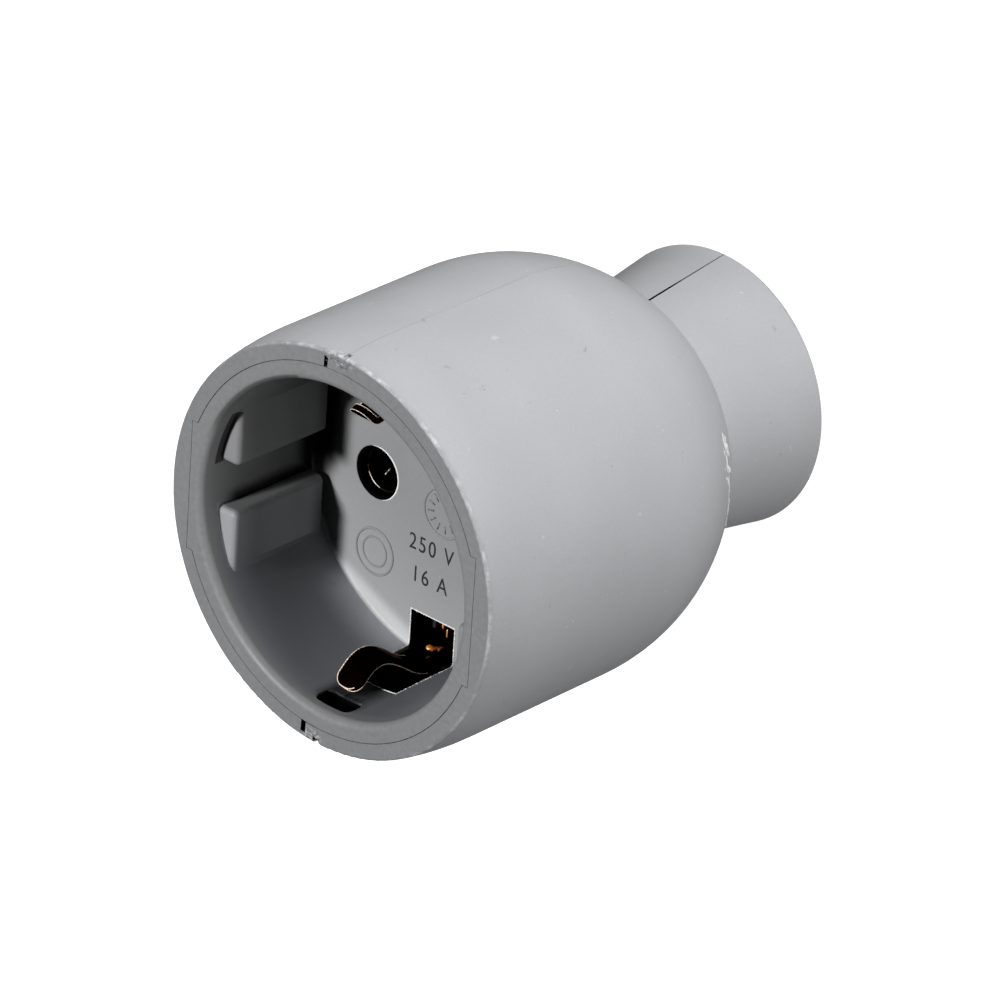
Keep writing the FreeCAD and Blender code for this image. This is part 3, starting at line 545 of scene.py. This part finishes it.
# pale arcs on the sleeves' mouths: painted glints
bm = bmesh.new()
for sx in (-1, 1):
    ring_bead(bm, sx * 9.5, 0.0, 2.52, 2.52, 0.15, 0.07, 43.3, 0.0, 205.0, 258.0, 24)
add_piece("sleeve_glints", mesh_from(bm, "sleeve_glints"), bright_brass)
# a pale line on the edge of the sleeve's split: a painted glint
split_edges = []
for sx in (-1, 1):
    split_edges.append((Vector((sx * 9.5 - 1.52, -1.78, 41.45)) * MM, Vector((sx * 9.5 - 1.62, -1.42, 40.55)) * MM, Vector((0.6, 0.6, 0.5))))
edge_bead("sleeve_split_edges", split_edges, 0.075 * MM, bright_brass, rng)


def flake(bm, p, n, t, length, width, height, rng):
    # one small torn chip: an irregular low pyramid lying on the surface
    b = n.cross(t).normalized()
    k = rng.randint(5, 7)
    ring = []
    for i in range(k):
        a = 2 * math.pi * (i + rng.uniform(-0.25, 0.25)) / k
        r = rng.uniform(0.65, 1.1)
        ring.append(bm.verts.new(p + t * (0.5 * length * r * math.cos(a)) + b * (0.5 * width * r * math.sin(a)) - n * 0.00003))
    top = bm.verts.new(p + n * height + t * rng.uniform(-0.2, 0.2) * length + b * rng.uniform(-0.2, 0.2) * width)
    for i in range(k):
        bm.faces.new((ring[i], ring[(i + 1) % k], top))
    bm.faces.new(list(reversed(ring)))


def on_dome(az_deg, polar_deg):
    # polar is measured from the downward axis
    a, q = math.radians(az_deg), math.radians(polar_deg)
    n = Vector((math.sin(q) * math.cos(a), math.sin(q) * math.sin(a), -math.cos(q)))
    return Vector((0, 0, DOME_Z * MM)) + n * (DOME_R * MM), n


def strand(bm, pts, width, height, rng):
    # a raised shred: tapered ridge along points that lie on the dome, given as (az, polar)
    rows = []
    m = len(pts)
    for i, (az, po) in enumerate(pts):
        p, n = on_dome(az, po)
        q, _ = on_dome(*pts[min(i + 1, m - 1)])
        o, _ = on_dome(*pts[max(i - 1, 0)])
        t = (q - o).normalized()
        b = n.cross(t).normalized()
        f = max(0.12, math.sin(math.pi * (i + 0.3) / (m - 0.4))) * rng.uniform(0.6, 1.2)
        w, h = 0.5 * width * f, height * f
        rows.append([bm.verts.new(p + b * w - n * 0.00003), bm.verts.new(p + b * (0.35 * w) + n * h),
                     bm.verts.new(p - b * (0.4 * w) + n * (0.8 * h)), bm.verts.new(p - b * w - n * 0.00003)])
    for a, c in zip(rows, rows[1:]):
        for j in range(4):
            bm.faces.new((a[j], c[j], c[(j + 1) % 4], a[(j + 1) % 4]))
    bm.faces.new(rows[0])
    bm.faces.new(list(reversed(rows[-1])))


# rubbed line low on the dome, above the neck
SCUFF = [(-8.5, 55.0), (-3.0, 56.8), (1.0, 56.8), (6.5, 57.6), (11.5, 57.6), (16.0, 57.8), (20.0, 57.2), (24.0, 56.0)]


def scuff_polar(az):
    for (a0, p0), (a1, p1) in zip(SCUFF, SCUFF[1:]):
        if a0 <= az <= a1:
            return p0 + (p1 - p0) * (az - a0) / (a1 - a0)
    return SCUFF[-1][1] if az > 0 else SCUFF[0][1]


rng = random.Random(7)
bm_pale, bm_dark, bm_shred = bmesh.new(), bmesh.new(), bmesh.new()
for i in range(84):
    az = -8.5 + 32.5 * (i + rng.uniform(-0.5, 0.5)) / 84
    upper = max(0.0, min(1.0, (az - 6.0) / 6.0))
    long_deg = rng.uniform(0.7, 2.6) * (0.8 + 0.5 * upper)
    shift = rng.gauss(0.0, 0.45 + 1.0 * upper)
    lean = rng.uniform(-0.5, 0.5)
    pts = []
    for k in range(7):
        a = az + long_deg * (k / 6 - 0.5)
        pts.append((a, scuff_polar(a) + shift + lean * (k / 6 - 0.5) + rng.uniform(-0.06, 0.06)))
    strand(bm_pale, pts, rng.uniform(0.08, 0.24) * (0.7 + 0.5 * upper) * MM, rng.uniform(0.05, 0.12) * MM, rng)
for i in range(110):
    az = rng.uniform(-8.5, 24.5)
    wide = 0.4 + 1.1 * max(0.0, min(1.0, (az - 6.0) / 8.0))
    p, n = on_dome(az, scuff_polar(az) + rng.gauss(0.1, 0.5 * wide))
    along = Vector((-math.sin(math.radians(az)), math.cos(math.radians(az)), 0))
    skew = (along + n.cross(along) * rng.uniform(-0.9, 0.9)).normalized()
    flake(bm_pale if rng.random() < 0.45 else bm_dark, p, n, skew, rng.uniform(0.12, 0.42) * MM, rng.uniform(0.06, 0.16) * MM,
          rng.uniform(0.02, 0.06) * MM, rng)
# torn shreds that hang in the open lap slot at the top
for i in range(16):
    x, y, z = rng.uniform(-2.86, -2.28), 23.02 - abs(rng.gauss(0.0, 0.34)), rng.uniform(61.70, 61.93)
    t = Vector((rng.uniform(-1, 1), rng.uniform(-1, 1), rng.uniform(-0.3, 0.3))).normalized()
    n = Vector((rng.uniform(-0.4, 0.4), rng.uniform(-0.4, 0.4), 1.0)).normalized()
    n = (n - t * n.dot(t)).normalized()
    flake(bm_shred, Vector((x, y, z)) * MM, n, t, rng.uniform(0.18, 0.42) * MM, rng.uniform(0.08, 0.18) * MM, 0.00004, rng)
# pale chips on the rim's outer edge here and there: edge wear and a painted highlight
for i in range(230):
    az = rng.uniform(0.0, 360.0)
    q = rng.uniform(0.42, 1.0)
    r, z = 23.30 + 0.34 * q, 61.985 - 0.30 * q * q
    a = math.radians(az)
    n = Vector((math.cos(a) * (0.25 + 0.7 * q), math.sin(a) * (0.25 + 0.7 * q), 1.0 - 0.7 * q)).normalized()
    p = Vector((r * math.cos(a), r * math.sin(a), z)) * MM - n * 0.00002
    t = (Vector((-math.sin(a), math.cos(a), 0)) + Vector((0, 0, rng.uniform(-0.3, 0.3)))).normalized()
    flake(bm_pale, p, n, t, rng.uniform(0.12, 0.5) * MM, rng.uniform(0.03, 0.09) * MM, 0.00003, rng)
for piece in (add_piece("rub_marks_pale", mesh_from(bm_pale, "rub_marks_pale", False), rubbed),
              add_piece("rub_marks_dark", mesh_from(bm_dark, "rub_marks_dark", False), shaded),
              add_piece("joint_shreds", mesh_from(bm_shred, "joint_shreds", False), raised)):
    piece.data.transform(SPIN)

# --------------------------------------------------------------------- camera
RIGHT = SPIN.to_3x3() @ Vector((0.72882446, 0.07811491, -0.68023008))
UP = SPIN.to_3x3() @ Vector((-0.37592622, 0.87599257, -0.3021862))
BACK = SPIN.to_3x3() @ Vector((0.57227125, 0.47595701, 0.66781026))
EYE = SPIN.to_3x3() @ Vector((0.563548, 0.465754, 0.692302))
cam_data = bpy.data.cameras.new("photo_camera")
cam_data.sensor_width = 36.0
cam_data.lens = 324.0
cam_data.clip_start = 0.05
cam_data.clip_end = 20.0
cam = bpy.data.objects.new("photo_camera", cam_data)
scene.collection.objects.link(cam)
cam.matrix_world = Matrix((
    (RIGHT.x, UP.x, BACK.x, EYE.x),
    (RIGHT.y, UP.y, BACK.y, EYE.y),
    (RIGHT.z, UP.z, BACK.z, EYE.z),
    (0, 0, 0, 1)))
scene.camera = cam

# ---------------------------------------------------------------------- floor
floor_mesh = bpy.data.meshes.new("floor")
bm = bmesh.new()
bmesh.ops.create_circle(bm, cap_ends=True, radius=3.0, segments=96)
bm.to_mesh(floor_mesh)
bm.free()
floor = bpy.data.objects.new("floor", floor_mesh)
scene.collection.objects.link(floor)
fm, fnt, fb = material("pale_floor")
fb.inputs["Base Color"].default_value = (0.3, 0.3, 0.3, 1)
fb.inputs["Roughness"].default_value = 0.9
fb.inputs["Specular IOR Level"].default_value = 0.0
fb.inputs["Emission Color"].default_value = (1, 1, 1, 1)
fb.inputs["Emission Strength"].default_value = 0.985
floor.data.materials.append(fm)
floor.location.z = -0.00002
floor.visible_diffuse = False
floor.visible_glossy = False

# --------------------------------------------------------------------- lights
CENTRE = Vector((0, 0, 0.034))


def soft_light(name, az, el, wide, tall, power, distance=0.9, height=None):
    d = bpy.data.lights.new(name, "AREA")
    d.shape = "RECTANGLE"
    d.size = wide
    d.size_y = tall
    d.energy = power / DEPTH
    o = bpy.data.objects.new(name, d)
    scene.collection.objects.link(o)
    a, e = math.radians(az) + TURN, math.radians(el)
    z = Vector((math.cos(a) * math.cos(e), math.sin(a) * math.cos(e), math.sin(e)))
    x = Vector((-math.sin(a), math.cos(a), 0))
    y = z.cross(x)
    c = (CENTRE if height is None else Vector((0, 0, height))) + z * distance
    o.matrix_world = Matrix(((x.x, y.x, z.x, c.x), (x.y, y.y, z.y, c.y), (x.z, y.z, z.z, c.z), (0, 0, 0, 1)))
    o.visible_camera = False
    # the low strips are close: without a mirror image they leave no burnt edge on the housing
    o.visible_glossy = height is None
    return o


soft_light("front_box", 130, 73, 0.10, 0.10, 6.95)
soft_light("side_strip_a", 40, 3, 0.35, 0.08, 2.50)
soft_light("side_strip_b", 20, 8, 0.35, 0.08, 0.76)
soft_light("side_box", 0, 13, 0.3, 0.2, 0.80)
soft_light("near_strip_a", 60, 0, 0.2, 0.02, 0.67, 0.3, 0.012)
soft_light("near_strip_b", 87, 0, 0.2, 0.02, 0.66, 0.3, 0.012)
soft_light("near_strip_c", -22, 0, 0.2, 0.02, 0.36, 0.3, 0.012)
soft_light("back_strip_a", 215, 0, 0.2, 0.02, 0.60, 0.3, 0.012)
soft_light("back_strip_b", 255, 0, 0.2, 0.02, 0.15, 0.3, 0.012)

world = bpy.data.worlds.new("studio")
scene.world = world
world.use_nodes = True
bg = next(n for n in world.node_tree.nodes if n.type == "BACKGROUND")
bg.inputs["Color"].default_value = (1, 1, 1, 1)
bg.inputs["Strength"].default_value = 0.008
scene.view_settings.view_transform = "Standard"
scene.view_settings.look = "None"
